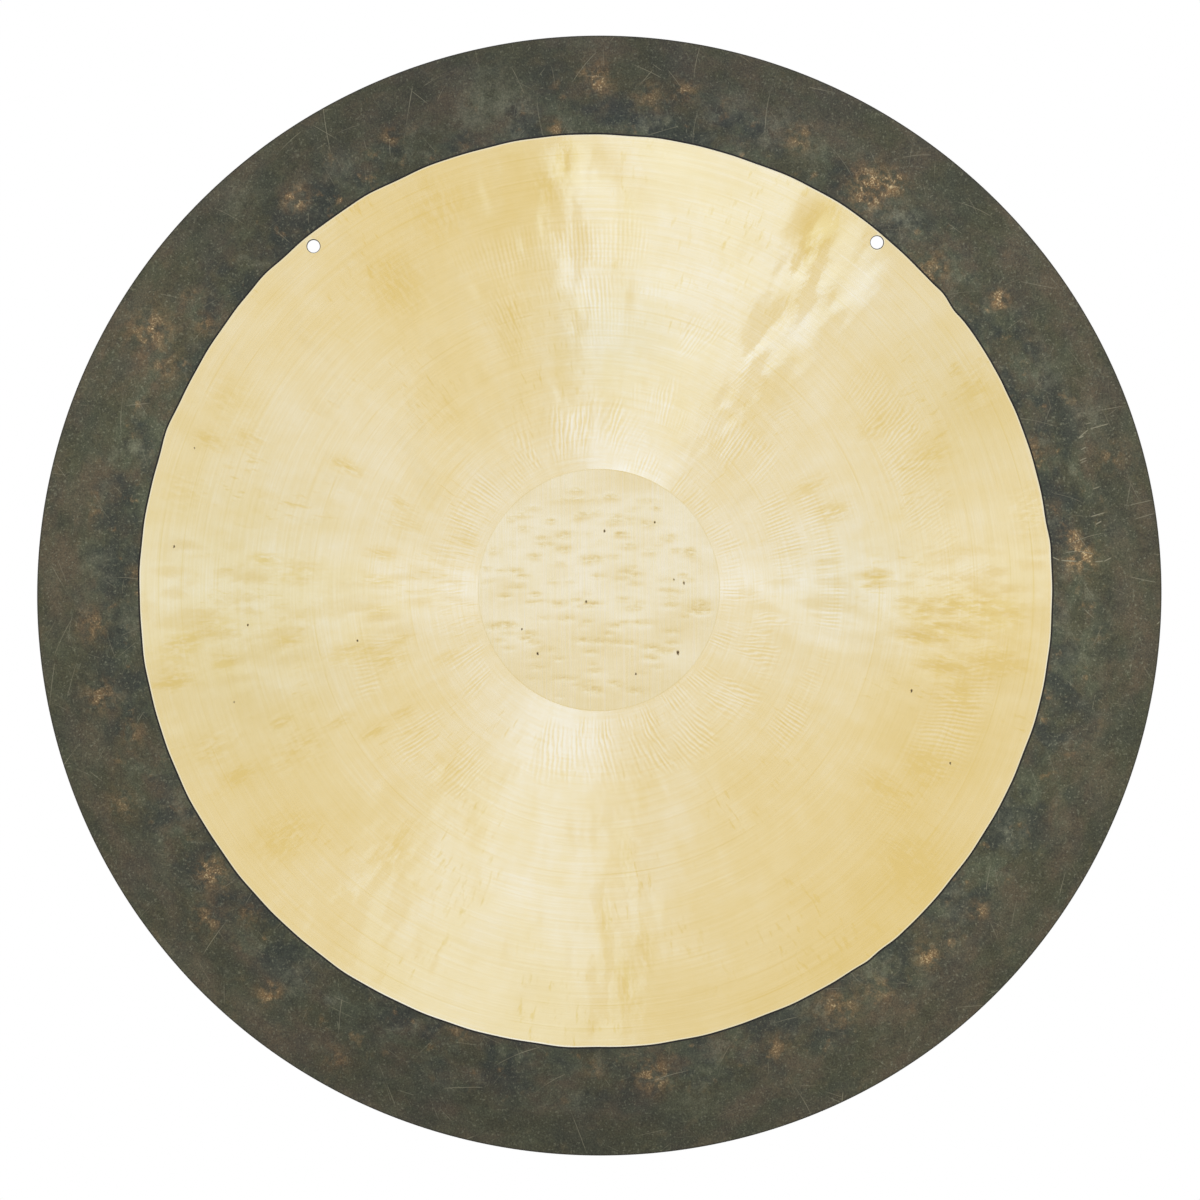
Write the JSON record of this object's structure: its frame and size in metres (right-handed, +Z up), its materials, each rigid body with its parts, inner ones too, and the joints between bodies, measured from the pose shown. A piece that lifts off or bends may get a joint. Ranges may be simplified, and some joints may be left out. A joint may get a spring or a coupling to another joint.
{
  "type": "wind gong",
  "caption": "Thin round hammered bronze wind gong with a bright turned face inside a dark oxidised rim, drilled near the top to hang on a cord.",
  "frame": {"origin": "halfway between the two hanging holes, in the middle of the sheet's thickness", "axes": "+Z up as the gong hangs, -Y out of its front face, +X to the viewer's right"},
  "size_m": [0.7124, 0.016, 0.7098],
  "materials": {
    "turned_bronze": "brushed",
    "rim_scale": "matte",
    "brushed_centre": "satin"
  },
  "bodies": {
    "root": {"gong_disc": "turned_bronze"}
  },
  "joints": []
}
